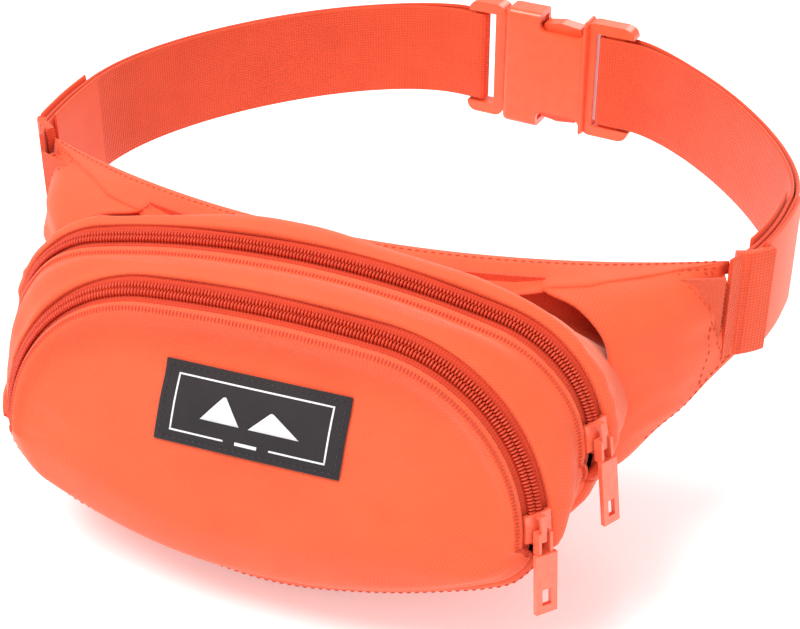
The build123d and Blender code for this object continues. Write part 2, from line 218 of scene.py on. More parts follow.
def net_mesh(name, net, closed=False, flip=False, cap=False):
    """Make a mesh object of a net, with a UV map in metres along both ways."""
    rows, cols = net.shape[:2]
    verts = [tuple(p * MM) for p in net.reshape(-1, 3)]
    last = cols if closed else cols - 1
    faces = []
    for i in range(rows - 1):
        for j in range(last):
            k = (j + 1) % cols
            f = (i * cols + j, i * cols + k, (i + 1) * cols + k, (i + 1) * cols + j)
            faces.append(f[::-1] if flip else f)
    if cap:
        faces.append([(rows - 1) * cols + j for j in range(cols)])
    mesh = bpy.data.meshes.new(name)
    mesh.from_pydata(verts, [], faces)
    run = np.linalg.norm(np.diff(net, axis=1), axis=2).mean(0)
    fall = np.linalg.norm(np.diff(net, axis=0), axis=2).mean(1)
    us = np.concatenate([[0.0], np.cumsum(run)]) * MM
    vs = np.concatenate([[0.0], np.cumsum(fall)]) * MM
    layer = mesh.uv_layers.new(name="cloth")
    for poly in mesh.polygons:
        js = [mesh.loops[li].vertex_index % cols for li in poly.loop_indices]
        wrap = max(js) - min(js) > cols / 2
        for li in poly.loop_indices:
            v = mesh.loops[li].vertex_index
            i, j = divmod(v, cols)
            x = us[j] + (us[-1] + us[1] if wrap and j == 0 else 0.0)
            layer.data[li].uv = (x, vs[i])
    mesh.polygons.foreach_set("use_smooth", [True] * len(mesh.polygons))
    obj = bpy.data.objects.new(name, mesh)
    bpy.context.scene.collection.objects.link(obj)
    return obj


def finish_with(obj, kind, **facts):
    """Add a modifier, set it up and apply it."""
    bpy.ops.object.select_all(action="DESELECT")
    obj.select_set(True)
    bpy.context.view_layer.objects.active = obj
    mod = obj.modifiers.new(kind, kind)
    for key, value in facts.items():
        setattr(mod, key, value)
    bpy.ops.object.modifier_apply(modifier=mod.name)


def thicken(obj, thickness):
    finish_with(obj, "SOLIDIFY", thickness=thickness * MM, offset=-1.0)


# %% [markdown]
# ## Materials
# Every finish is made from nodes. Cloth gets its weave from crossed waves on the
# UV map, in metres, so the threads have their real pitch on every panel.

# %% Node helpers
def shader(name, color, rough, **sockets):
    """A material with a Principled shader and constant values on its sockets."""
    mat = bpy.data.materials.new(name)
    mat.use_nodes = True
    tree = mat.node_tree
    bsdf = tree.nodes["Principled BSDF"]
    bsdf.inputs["Base Color"].default_value = (*color, 1.0)
    bsdf.inputs["Roughness"].default_value = rough
    for key, value in sockets.items():
        bsdf.inputs[key.replace("_", " ")].default_value = value
    return mat, tree, bsdf


def node(tree, kind, **facts):
    n = tree.nodes.new(kind)
    for key, value in facts.items():
        if key in n.inputs:
            n.inputs[key].default_value = value
        else:
            setattr(n, key, value)
    return n


def wave(tree, coords, pitch, angle, detail=0.0):
    """Bands of a given pitch in metres, turned by an angle, from 0 to 1."""
    mapping = node(tree, "ShaderNodeMapping")
    mapping.inputs["Rotation"].default_value = (0.0, 0.0, math.radians(angle))
    tree.links.new(coords, mapping.inputs["Vector"])
    bands = node(tree, "ShaderNodeTexWave", wave_type="BANDS", bands_direction="X")
    bands.inputs["Scale"].default_value = 0.314 / pitch
    bands.inputs["Distortion"].default_value = detail
    tree.links.new(mapping.outputs["Vector"], bands.inputs["Vector"])
    return bands.outputs["Fac"]


def mix_value(tree, kind, a, b):
    m = node(tree, "ShaderNodeMath", operation=kind)
    for slot_no, value in ((0, a), (1, b)):
        if isinstance(value, float):
            m.inputs[slot_no].default_value = value
        else:
            tree.links.new(value, m.inputs[slot_no])
    return m.outputs[0]


def cloth(name, color, dark, pitch, angles, rough=0.62, bump=0.25, depth=0.00012, soft=0.35):
    """Woven cloth: crossed thread bands, uneven dye and a little sheen."""
    mat, tree, bsdf = shader(name, color, rough, Sheen_Weight=soft, Sheen_Roughness=0.4)
    bsdf.inputs["Sheen Tint"].default_value = (1.0, 0.72, 0.6, 1.0)
    bsdf.inputs["Specular IOR Level"].default_value = 0.3
    uv = node(tree, "ShaderNodeUVMap", uv_map="cloth").outputs["UV"]
    threads = mix_value(tree, "ADD", wave(tree, uv, pitch, angles[0]), wave(tree, uv, pitch, angles[1]))
    threads = mix_value(tree, "MULTIPLY", threads, 0.5)
    where = node(tree, "ShaderNodeTexCoord").outputs["Object"]
    dye = node(tree, "ShaderNodeTexNoise", Scale=60.0, Detail=6.0, Roughness=0.6)
    tree.links.new(where, dye.inputs["Vector"])
    shade = mix_value(tree, "ADD", mix_value(tree, "MULTIPLY", threads, 0.55),
                      mix_value(tree, "MULTIPLY", dye.outputs["Fac"], 0.5))
    ramp = node(tree, "ShaderNodeValToRGB")
    ramp.color_ramp.elements[0].position = 0.15
    ramp.color_ramp.elements[0].color = (*dark, 1.0)
    ramp.color_ramp.elements[1].position = 0.85
    ramp.color_ramp.elements[1].color = (*color, 1.0)
    tree.links.new(shade, ramp.inputs["Fac"])
    tree.links.new(ramp.outputs["Color"], bsdf.inputs["Base Color"])
    dent = node(tree, "ShaderNodeBump", Strength=bump, Distance=depth)
    tree.links.new(threads, dent.inputs["Height"])
    tree.links.new(dent.outputs["Normal"], bsdf.inputs["Normal"])
    return mat


def moulded(name, color, dark, rough, grain, metallic=0.0, coat=0.0):
    """Moulded plastic or painted metal with fine grain and uneven gloss."""
    mat, tree, bsdf = shader(name, color, rough, Metallic=metallic, Coat_Weight=coat, Coat_Roughness=0.2)
    where = node(tree, "ShaderNodeTexCoord").outputs["Object"]
    speck = node(tree, "ShaderNodeTexNoise", Scale=grain, Detail=5.0, Roughness=0.55)
    tree.links.new(where, speck.inputs["Vector"])
    ramp = node(tree, "ShaderNodeValToRGB")
    ramp.color_ramp.elements[0].position = 0.3
    ramp.color_ramp.elements[0].color = (*dark, 1.0)
    ramp.color_ramp.elements[1].position = 0.7
    ramp.color_ramp.elements[1].color = (*color, 1.0)
    tree.links.new(speck.outputs["Fac"], ramp.inputs["Fac"])
    tree.links.new(ramp.outputs["Color"], bsdf.inputs["Base Color"])
    gloss = node(tree, "ShaderNodeMapRange")
    gloss.inputs["To Min"].default_value = rough - 0.06
    gloss.inputs["To Max"].default_value = rough + 0.08
    tree.links.new(speck.outputs["Fac"], gloss.inputs["Value"])
    tree.links.new(gloss.outputs["Result"], bsdf.inputs["Roughness"])
    dent = node(tree, "ShaderNodeBump", Strength=0.08, Distance=0.0002)
    tree.links.new(speck.outputs["Fac"], dent.inputs["Height"])
    tree.links.new(dent.outputs["Normal"], bsdf.inputs["Normal"])
    return mat


# %% [markdown]
# ## Finishes
# Each cloth has its own thread spacing and dye. Metal, plastic and lining have
# no weave, so they read the object's own coordinates.

# %% The finishes
CORAL = (0.93, 0.125, 0.042)
CORAL_DARK = (0.80, 0.085, 0.026)
PACK_CLOTH = cloth("pack_cloth", CORAL, CORAL_DARK, 0.0008, (35.0, -60.0), 0.6, 0.55, 0.0002)
PAD_MESH = cloth("pad_mesh", (0.86, 0.10, 0.035), (0.45, 0.03, 0.01), 0.0026, (45.0, -45.0), 0.8, 0.9, 0.0008)
WEBBING = cloth("webbing", (0.90, 0.105, 0.034), (0.66, 0.055, 0.016), 0.0011, (0.0, 90.0), 0.6, 0.7, 0.0004)
SMOOTH_TAPE = cloth("smooth_tape", (0.90, 0.11, 0.036), (0.78, 0.08, 0.024), 0.0009, (0.0, 90.0), 0.55, 0.3)
ZIP_TAPE = cloth("zip_tape", (0.74, 0.065, 0.02), (0.50, 0.03, 0.008), 0.0010, (0.0, 90.0), 0.7, 0.6, 0.0003)
THREAD = cloth("thread", (0.86, 0.085, 0.03), (0.62, 0.04, 0.012), 0.0005, (45.0, 45.0), 0.5, 0.5)
COIL = moulded("zip_coil", (0.72, 0.055, 0.014), (0.55, 0.035, 0.008), 0.42, 900.0)
PAINTED = moulded("painted_zinc", (0.93, 0.17, 0.085), (0.85, 0.13, 0.06), 0.3, 500.0, 0.0, 0.5)
ACETAL = moulded("acetal", (0.95, 0.13, 0.045), (0.90, 0.11, 0.035), 0.3, 250.0, 0.0, 0.25)
LINING = moulded("lining", (0.74, 0.10, 0.04), (0.60, 0.07, 0.025), 0.75, 1400.0)
LABEL_CLOTH = cloth("label_cloth", (0.030, 0.024, 0.026), (0.012, 0.009, 0.010), 0.0005, (0.0, 90.0), 0.7, 0.5)
LABEL_WHITE = cloth("label_white", (0.84, 0.84, 0.86), (0.70, 0.70, 0.72), 0.0005, (0.0, 90.0), 0.6, 0.3)
for m in (LABEL_CLOTH, LABEL_WHITE):
    m.node_tree.nodes["Principled BSDF"].inputs["Sheen Tint"].default_value = (1, 1, 1, 1)


def dress(obj, mat, body, nodes=()):
    """Give a piece its material, the body it rides on and the nodes it stands for."""
    obj.data.materials.clear()
    obj.data.materials.append(mat)
    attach(obj, body)
    if nodes:
        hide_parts(*nodes)
    print(obj.name, len(obj.data.polygons), "faces")


# %% [markdown]
# ## The fabric body
# Three rings of cloth make the body: behind the main zip, between the zips, and
# the pocket front. Their edges are turned under beside each zip.

# %% Build the three cloth rings
rear = weave_rows(
    [
        pad_ring("back", 3.2, 2.2),
        pad_ring("back", 2.6, 0.0),
        pad_ring("back", PAD_T * 0.6, -0.7),
        pad_ring("back", PAD_T + 5.0, -1.4),
        ring("crest"),
        zip_ring("main", 0.5, 3.2, -1),
        zip_ring("main", 0.45, 0.9, -1),
        zip_ring("main", -0.1, 0.1, -1),
        zip_ring("main", -1.6, 0.3, -1),
    ],
    [2, 3, 4, 7, 8, 3, 3, 3],
)
between = weave_rows(
    [
        zip_ring("main", -1.6, 0.3, 1),
        zip_ring("main", -0.1, 0.1, 1),
        zip_ring("main", 0.5, 0.9, 1),
        zip_ring("main", 0.3, 3.4, 1),
        ring("middle", 0.6),
        zip_ring("pocket", 0.5, 3.2, -1),
        zip_ring("pocket", 0.45, 0.9, -1),
        zip_ring("pocket", -0.1, 0.1, -1),
        zip_ring("pocket", -1.6, 0.3, -1),
    ],
    [3, 3, 3, 6, 6, 3, 3, 3],
)


def shrink(name, share, lift):
    """The flat outline drawn in toward its middle and lifted forward."""
    sec = SECTIONS[name]
    pts = ring(name)
    origin, up, fwd = plane_axes(sec)
    mid = origin + up * 8.0
    return mid + (pts - mid) * share + fwd * lift


front = weave_rows(
    [
        zip_ring("pocket", -1.6, 0.3, 1),
        zip_ring("pocket", -0.1, 0.1, 1),
        zip_ring("pocket", 0.5, 0.9, 1),
        zip_ring("pocket", 0.3, 3.4, 1),
        ring("face"),
        ring("flat"),
        shrink("flat", 0.66, 1.2),
        shrink("flat", 0.33, 1.8),
        shrink("flat", 0.005, 2.0),
    ],
    [3, 3, 3, 5, 7, 5, 5, 5],
)
print("cloth rows", len(rear), len(between), len(front))


# %% Ripple the cloth
def ruffle(net, amount, seed, edge=6):
    """Move a closed net off its surface by slow noise, but hold its edge rows."""
    normals = net_normals(net, True)
    rows = net.shape[0]
    out = net.copy()
    for i in range(rows):
        hold = min(1.0, i / edge, (rows - 1 - i) / edge)
        for j in range(net.shape[1]):
            p = net[i, j]
            slow = ripple(p, (38.0, 30.0, 24.0), seed)
            quick = 1.0 - abs(ripple(p, (20.0, 12.0, 9.0), seed + 7.0)) * 2.0
            side = min(1.0, max(0.0, (abs(p[0]) - 45.0) / 40.0))
            out[i, j] = p + normals[i, j] * amount * hold * (slow + 0.45 * side * quick)
    return out


rear = ruffle(rear, 1.5, 3.0)
between = ruffle(between, 1.0, 11.0)
front_rows = len(front)
front_normals = net_normals(front, True)
for i in range(front_rows):
    hold = min(1.0, max(0.0, (i - 8) / 8.0))
    for j in range(COLS):
        p = front[i, j]
        slow = ripple(p, (42.0, 30.0, 26.0), 21.0)
        side = min(1.0, max(0.0, (abs(p[0]) - 35.0) / 40.0))
        quick = 1.0 - abs(ripple(p, (26.0, 16.0, 9.0), 27.0)) * 2.0
        front[i, j] = p + front_normals[i, j] * hold * (0.9 * slow + 0.6 * side * quick)
print("body ripples done")


# %% Cut the rings into the panels they are sewn from
def columns(net, first, last):
    """Part of a closed net, from one column to another."""
    idx = [k % COLS for k in range(first, last + 1)]
    return net[:, idx]


SPLIT = int(COLS * 0.03)
top_panel = net_mesh("top_panel_cloth", columns(rear, -SPLIT, COLS // 2 + SPLIT))
middle_panel = net_mesh("middle_panel_cloth", columns(between, -SPLIT, COLS // 2 + SPLIT))
gusset_rear = net_mesh("gusset_cloth", columns(rear, COLS // 2 + SPLIT, COLS - SPLIT))
gusset_front = net_mesh("gusset_front_cloth", columns(between, COLS // 2 + SPLIT, COLS - SPLIT))
front_panel = net_mesh("front_panel_cloth", front, closed=True, cap=True)
for obj in (top_panel, middle_panel, gusset_rear, gusset_front, front_panel):
    thicken(obj, 0.9)
dress(top_panel, PACK_CLOTH, "pack", ["top_panel"])
dress(middle_panel, PACK_CLOTH, "pack", ["middle_panel"])
dress(gusset_rear, PACK_CLOTH, "pack", ["bottom_gusset"])
dress(gusset_front, PACK_CLOTH, "pack")
dress(front_panel, PACK_CLOTH, "pack", ["front_panel"])

# %% [markdown]
# ## The zips
# A coil zip is two rows of nylon loops sewn along two woven tapes. One loop is
# modelled and copied along the chain at its real pitch.


# %% Tapes
def zip_shares(first, last, n):
    return [first + (last - first) * k / (n - 1) for k in range(n)]


def zip_run(z):
    """Distances along a zip and the shares of the outline they belong to."""
    us = zip_shares(0.0, U_END, 1200)
    pts = np.array([spot(z["sec"], u, z["tilt"]) for u in us])
    run = np.concatenate([[0.0], np.cumsum(np.linalg.norm(np.diff(pts, axis=0), axis=1))])
    return run, us


def tape(name, word, sign):
    z = ZIPS[name]
    rows = []
    for rise, across in ((-1.3, 1.2), (-1.1, 2.0), (-1.0, 3.2), (-1.0, 4.6), (-1.5, 6.4)):
        line = [spot(z["sec"], u, z["tilt"], rise, sign * across) for u in zip_shares(-0.038, 0.538, 240)]
        rows.append(line)
    obj = net_mesh(name + "_tape_" + word + "_weave", np.array(rows), flip=sign < 0)
    thicken(obj, 0.5)
    dress(obj, ZIP_TAPE, "pack", [name + "_tape_" + word])


for zip_name in ZIPS:
    tape(zip_name, "upper", -1)
    tape(zip_name, "lower", 1)


# %% Coils
def loop_shape():
    """One coil loop: a rounded bar that bends over the middle of the chain."""
    bm = bmesh.new()
    bmesh.ops.create_uvsphere(bm, u_segments=8, v_segments=5, radius=1.0)
    verts = [np.array(v.co) for v in bm.verts]
    faces = [[v.index for v in f.verts] for f in bm.faces]
    bm.free()
    return verts, faces


LOOP_V, LOOP_F = loop_shape()


def coil(name, word, sign, pitch=1.12):
    z = ZIPS[name]
    run, shares = zip_run(z)
    count = int(run[-1] / pitch)
    verts, faces = [], []
    wide = 1.45 if name == "pocket" else 1.25
    for k in range(count):
        u = float(np.interp((k + (0.5 if sign > 0 else 0.0)) * run[-1] / count, run, shares))
        mid = spot(z["sec"], u, z["tilt"], -0.2, sign * wide * 0.78)
        ahead = spot(z["sec"], u + 0.0005, z["tilt"], -0.2, sign * wide * 0.78)
        over = spot(z["sec"], u, z["tilt"], -0.2, sign * (wide * 0.78 + 1.0)) - mid
        fwd = (ahead - mid) / np.linalg.norm(ahead - mid)
        fwd = fwd + over * 0.25 * sign
        out = np.cross(over, fwd)
        out = out / np.linalg.norm(out)
        base = len(verts)
        for v in LOOP_V:
            verts.append(tuple((mid + fwd * v[0] * 0.5 + over * v[1] * wide + out * v[2] * 0.95) * MM))
        faces += [[base + i for i in f] for f in LOOP_F]
    mesh = bpy.data.meshes.new(name)
    mesh.from_pydata(verts, [], faces)
    mesh.polygons.foreach_set("use_smooth", [True] * len(mesh.polygons))
    obj = bpy.data.objects.new(name + "_coil_" + word + "_loops", mesh)
    bpy.context.scene.collection.objects.link(obj)
    bpy.ops.object.select_all(action="DESELECT")
    obj.select_set(True)
    bpy.context.view_layer.objects.active = obj
    bpy.ops.object.mode_set(mode="EDIT")
    bpy.ops.mesh.select_all(action="SELECT")
    bpy.ops.mesh.normals_make_consistent(inside=False)
    bpy.ops.object.mode_set(mode="OBJECT")
    dress(obj, COIL, "pack", [name + "_coil_" + word])


for zip_name in ZIPS:
    coil(zip_name, "upper", -1)
    coil(zip_name, "lower", 1)

# %% [markdown]
# ## Stitching
# A stitch is a short, fat thread that dips into the cloth at both ends. One is
# shaped from a small ball and copied along each seam.


# %% Stitch helper
def stitches(name, points, outs, pitch=2.6, size=0.28, lift=0.12, share=0.72):
    """Threads along a path: points in millimetres and the outward direction at each."""
    points, outs = np.array(points), np.array(outs)
    seg = np.linalg.norm(np.diff(points, axis=0), axis=1)
    dist = np.concatenate([[0.0], np.cumsum(seg)])
    count = max(1, int(dist[-1] / pitch))
    verts, faces = [], []
    for k in range(count):
        d = (k + 0.5) * dist[-1] / count
        p = np.array([np.interp(d, dist, points[:, c]) for c in range(3)])
        q = np.array([np.interp(d + 0.3, dist, points[:, c]) for c in range(3)])
        r = np.array([np.interp(d - 0.3, dist, points[:, c]) for c in range(3)])
        n = np.array([np.interp(d, dist, outs[:, c]) for c in range(3)])
        run = (q - r) / max(1e-9, np.linalg.norm(q - r))
        n = n - run * n.dot(run)
        n /= max(1e-9, np.linalg.norm(n))
        side = np.cross(n, run)
        base = len(verts)
        for v in LOOP_V:
            x = v[0] * pitch * share / 2.0
            dip = -0.25 * abs(v[0]) ** 2
            verts.append(tuple((p + run * x + side * v[1] * size + n * (v[2] * size + lift + dip)) * MM))
        faces += [[base + i for i in f] for f in LOOP_F]
    mesh = bpy.data.meshes.new(name)
    mesh.from_pydata(verts, [], faces)
    mesh.uv_layers.new(name="cloth")
    mesh.polygons.foreach_set("use_smooth", [True] * len(mesh.polygons))
    obj = bpy.data.objects.new(name, mesh)
    bpy.context.scene.collection.objects.link(obj)
    dress(obj, THREAD, "pack")
    return obj


def seam_row(net, row, first=0, last=None):
    """Points and normals along one row of a finished net."""
    normals = net_normals(net, True)
    last = net.shape[1] if last is None else last
    idx = [k % net.shape[1] for k in range(first, last + 1)]
    return net[row, idx], normals[row, idx]


# %% Stitch the panels
for name, net, row in (("main", between, 8), ("pocket", front, 8)):
    lip_row = seam_row(net, row, -SPLIT, COLS // 2 + SPLIT)
    stitches("lip_" + name, *lip_row, pitch=1.15, size=1.2, lift=-0.72, share=0.95)
stitches("stitch_bottom", *seam_row(between, len(between) - 9, COLS // 2 + SPLIT, COLS - SPLIT))

# %% [markdown]
# ## The label
# A black woven patch is laid on the pocket front, so its grid of points is
# dropped onto the cloth below. A thin white frame and a plain peak mark are woven in.

# %% Drop helper and label patch
front_tree = BVHTree.FromObject(front_panel, bpy.context.evaluated_depsgraph_get())
LABEL_MID = np.array([0.0, -67.5, -12.5])
LABEL_TILT = math.radians(33.0)
LABEL_UP = np.array([0.0, math.sin(LABEL_TILT), math.cos(LABEL_TILT)])
LABEL_OUT = np.array([0.0, -math.cos(LABEL_TILT), math.sin(LABEL_TILT)])


def on_front(x, v, lift):
    """Point of the pocket front under a place on the label, lifted off the cloth."""
    start = LABEL_MID + np.array([x, 0, 0]) + LABEL_UP * v + LABEL_OUT * 40.0
    hit = front_tree.ray_cast(Vector(start * MM), Vector(-LABEL_OUT))
    if hit[0] is None:
        hit = front_tree.ray_cast(Vector((start + 0.01) * MM), Vector(-LABEL_OUT))
    return np.array(hit[0]) / MM + LABEL_OUT * lift


def label_net(x0, x1, v0, v1, lift, nx=24, nv=10):
    return np.array([[on_front(x0 + (x1 - x0) * i / nx, v0 + (v1 - v0) * j / nv, lift)
                      for i in range(nx + 1)] for j in range(nv + 1)])


patch = net_mesh("label_patch", label_net(-30.5, 30.5, -12.5, 12.5, 0.9))
thicken(patch, 0.8)
finish_with(patch, "BEVEL", width=0.25 * MM, segments=2, limit_method="ANGLE")
dress(patch, LABEL_CLOTH, "pack", ["label"])


# %% Label frame, mark and border stitches
def strip(name, corners, mat=LABEL_WHITE, lift=1.0):
    """A thin woven area between four corners given as (x, up) on the label."""
    a, b, c, d = [np.array(p) for p in corners]
    net = []
    for j in range(5):
        t = j / 4
        row = []
        for i in range(13):
            s = i / 12
            p = (1 - t) * ((1 - s) * a + s * b) + t * ((1 - s) * d + s * c)
            row.append(on_front(p[0], p[1], lift))
        net.append(row)
    obj = net_mesh(name, np.array(net))
    thicken(obj, 0.12)
    dress(obj, mat, "pack")


W, H, LINE = 25.6, 8.9, 0.55
strip("label_line_top", [(-W, H - LINE), (W, H - LINE), (W, H), (-W, H)])
strip("label_line_left", [(-W, -H), (-W + LINE, -H), (-W + LINE, H), (-W, H)])
strip("label_line_right", [(W - LINE, -H), (W, -H), (W, H), (W - LINE, H)])
strip("label_line_low_left", [(-W, -H), (-7.5, -H), (-7.5, -H + LINE), (-W, -H + LINE)])
strip("label_line_low_right", [(7.5, -H), (W, -H), (W, -H + LINE), (7.5, -H + LINE)])
strip("label_peak_left", [(-16.0, -3.6), (-3.0, -3.6), (-8.6, 4.4), (-9.4, 4.4)])
strip("label_peak_right", [(0.0, -3.6), (16.5, -3.6), (7.2, 2.6), (6.4, 2.6)])
strip("label_bar", [(-3.6, -9.2), (3.6, -9.2), (3.6, -8.2), (-3.6, -8.2)])
edge = []
for x0, v0, x1, v1 in ((-29, 11, 29, 11), (29, 11, 29, -11), (29, -11, -29, -11), (-29, -11, -29, 11)):
    edge += [on_front(x0 + (x1 - x0) * t / 20, v0 + (v1 - v0) * t / 20, 0.95) for t in range(21)]
border = stitches("label_stitches", edge, [LABEL_OUT] * len(edge), 2.2, 0.22, 0.05)
dress(border, LABEL_CLOTH, "pack")

# %% [markdown]
# ## Wings and back pad
# A wing is the front cloth sewn to the back pad along its top, tip and bottom.
# Rows run from the top seam, over the front, and under to the bottom seam.


# %% Wing cloth
def mirror_x(net, side):
    out = np.array(net, dtype=float)
    out[..., 0] *= side
    return out


def wing(side, word):
    seam = [(70.0, -4.0, 12.4), (83.0, -9.0, 10.6), (93.5, -14.0, 3.0), (96.5, -17.5, -12.0),
            (96.5, -20.0, -32.0), (91.0, -20.5, -51.0)]
    tip = [(120.6, 26.0, 14.2), (121.6, 26.0, 9.5), (123.2, 26.6, 3.0), (124.8, 27.2, -4.5),
           (126.4, 27.8, -11.5), (127.8, 28.6, -18.0)]
    n = 26
    rows = []
    for a, b in zip(seam, tip):
        a, b = np.array(a), np.array(b)
        rows.append([a + (b - a) * (k / (n - 1)) for k in range(n)])
    rows = [np.array(r) for r in rows]
    def back_edge(row, z_shift):
        out = row.copy()
        out[:, 1] = BACK_CURVE * out[:, 0] ** 2 - 0.5
        out[:, 2] += z_shift
        return out

    first = back_edge(rows[0], 0.0)
    last = back_edge(rows[-1], -0.6)
    net = weave_rows([first] + rows + [last], [4, 8, 8, 8, 8, 8, 4])
    normals = net_normals(net, False)
    turned = normals[net.shape[0] // 2, n // 2, 1] > 0
    if turned:
        normals = -normals
    count = net.shape[0]
    for i in range(count):
        for j in range(n):
            s, t = j / (n - 1), i / (count - 1)
            puff = 3.4 * math.sin(math.pi * min(1.0, s * 1.02)) ** 1.9 * math.sin(math.pi * t) ** 0.7
            p = net[i, j]
            fold = ripple(p, (60.0, 22.0, 7.5), 31.0 + side)
            crease = 1.0 - abs(ripple(p, (30.0, 26.0, 12.0), 37.0 + side)) * 2.4
            hold = min(1.0, 6 * s, 6 * (1 - s)) * math.sin(math.pi * t) ** 0.5
            net[i, j] = p + normals[i, j] * (puff + hold * (0.9 * fold + crease))
    net = mirror_x(net, side)
    obj = net_mesh("wing_cloth_" + word, net, flip=turned == (side > 0))
    thicken(obj, 0.9)
    dress(obj, PACK_CLOTH, "pack", ["wing_front_" + word, "wing_foam_" + word])
    outs = mirror_x(normals, side)
    for label, picks in (("top", [(5, j) for j in range(9, n - 1)]),
                         ("tip", [(i, n - 3) for i in range(5, count - 5)]),
                         ("low", [(count - 7, j) for j in range(9, n - 1)])):
        stitches("stitch_wing_%s_%s" % (label, word), [net[i, j] for i, j in picks],
                 [outs[i, j] for i, j in picks])
    for label, swing in (("a", 1.0), ("b", -1.0)):
        picks = [(i, n - 6 + int(round(2.0 * swing * math.cos(math.pi * (i - 5) / (count - 11)))))
                 for i in range(5, count - 5, 4)]
        stitches("stitch_wing_cross_%s_%s" % (label, word), [net[i, j] for i, j in picks],
                 [outs[i, j] for i, j in picks])
    return net


wing(1, "right")
wing(-1, "left")

# %% [markdown]
# ## Folded top edge
# One strip of cloth is folded over the pad from tip to tip and sewn down in
# front. Its front rows are dropped onto the cloth below, so that no gap is left.

# %% Folded top edge
under = bmesh.new()
for cloth_piece in (top_panel, bpy.data.objects["wing_cloth_right"], bpy.data.objects["wing_cloth_left"]):
    under.from_mesh(cloth_piece.data)
under_tree = BVHTree.FromBMesh(under)
under.free()


def resting_height(x, y):
    """Height of the cloth below a point of the fold."""
    hit = under_tree.ray_cast(Vector((x * MM, y * MM, 0.06)), Vector((0, 0, -1)))[0]
    return 12.0 if hit is None else max(9.0, hit[2] / MM)


def settle(heights):
    """Even out a row of heights without letting it sink into the cloth."""
    padded = np.pad(heights, 6, mode="edge")
    calm = np.convolve(padded, np.ones(13) / 13.0, mode="valid")
    return np.maximum(calm, heights) + 0.35


fold_x = np.linspace(-121.5, 121.5, 162)
narrow = np.clip((121.5 - np.abs(fold_x)) / 37.0, 0.1, 1.0)
fold = []
for dy, z in ((1.6, 9.5), (1.8, 12.6), (1.2, 14.2), (0.0, 14.9), (-2.2, 14.9), (-4.4, 14.8)):
    share = np.where(dy < 0, narrow, 1.0)
    fold.append(np.stack([fold_x, BACK_CURVE * fold_x ** 2 + dy * share, np.full(len(fold_x), z)], axis=1))
for dy, part in ((-7.0, 0.55), (-9.5, 0.9), (-12.0, 1.0), (-14.0, 1.0)):
    ys = BACK_CURVE * fold_x ** 2 + dy * narrow
    low = settle(np.array([resting_height(x, y) for x, y in zip(fold_x, ys)]))
    fold.append(np.stack([fold_x, ys, 14.8 + (low - 14.8) * part], axis=1))
fold = np.array(fold)
top_fold = net_mesh("top_fold", fold, flip=True)
thicken(top_fold, 0.7)
dress(top_fold, PACK_CLOTH, "pack")
stitches("stitch_top_fold", fold[4, 2:-2], np.tile([0.0, 0.0, 1.0], (158, 1)))

# %% Back pad
def pad_outline(t):
    """Lower edge of the pad for a place from -1 to 1 across."""
    x = abs(t)
    pts_x = [0.0, 40.0, 76.5, 100.5, 114.5, 122.5]
    pts_z = [-61.0, -60.2, -56.0, -45.0, -30.0, -16.0]
    return float(np.interp(x, pts_x, pts_z))


def pad_face(depth, inset, n=97, rows=31):
    net = []
    for i in range(rows):
        t = i / (rows - 1)
        line = []
        for k in range(n):
            x = (-122.5 + inset) + (245.0 - 2 * inset) * k / (n - 1)
            low, high = pad_outline(x) + inset, 13.0 - inset
            line.append((x, BACK_CURVE * x * x - depth, high + (low - high) * t))
        net.append(line)
    return np.array(net)


back_net = pad_face(-0.2, 2.0)
for i in range(back_net.shape[0]):
    for j in range(back_net.shape[1]):
        s, t = j / 96, i / 30
        hump = 2.0 * (math.sin(math.pi * s) * math.sin(math.pi * t)) ** 0.45
        back_net[i, j, 1] += 0.4 * hump + 0.3 * ripple(back_net[i, j], (30, 30, 30), 51.0) - 0.8
pad = net_mesh("back_pad_mesh", back_net)
thicken(pad, 6.0)
finish_with(pad, "BEVEL", width=2.0 * MM, segments=3, limit_method="ANGLE", angle_limit=1.0)
dress(pad, PAD_MESH, "pack", ["back_mesh", "back_foam"])

# %% [markdown]
# ## Belt webbing
# Each half of the belt is one ribbon: out of the wing, round the buckle bar and
# back on the outside to a folded hem.

# %% Belt path
BUCKLE_MID = (19.0, 181.0)
TURN = math.radians(-7.0)
BAR_R, WEB_T = 1.5, 1.5
INNER_Y = -(BAR_R + 0.3 + WEB_T)
LOOP_X = {1: 24.0, -1: -31.3}
FLAT = 10.0


def buckle_plan(x, y):
    c, s = math.cos(TURN), math.sin(TURN)
    return (BUCKLE_MID[0] + x * c - y * s, BUCKLE_MID[1] + x * s + y * c)


def bezier(p, n):
    out = []
    for i in range(n):
        t = i / n
        w = ((1 - t) ** 3, 3 * (1 - t) ** 2 * t, 3 * (1 - t) * t * t, t ** 3)
        out.append(tuple(sum(w[k] * p[k][c] for k in range(4)) for c in range(2)))
    return out


def belt_line(side):
    end = buckle_plan(LOOP_X[side] + side * FLAT, INNER_Y)
    if side > 0:
        mid = bezier(((132.6, 70.0), (133.5, 106.0), (end[0] + 26.0, end[1] - 3.2), end), 40)
    else:
        mid = bezier(((-128.0, 69.0), (-128.0, 118.0), (end[0] - 40.0, end[1] + 3.0), end), 40)
    lead = [(side * 122.6, 22.5), (side * 124.0, 25.5)]
    if side > 0:
        lead += [(127.2, 33.0), (130.0, 44.0), (131.8, 56.0)]
    else:
        lead += [(-125.6, 33.0), (-127.0, 44.0), (-127.9, 56.0)]
    return lead + mid + [end, buckle_plan(LOOP_X[side], INNER_Y)]


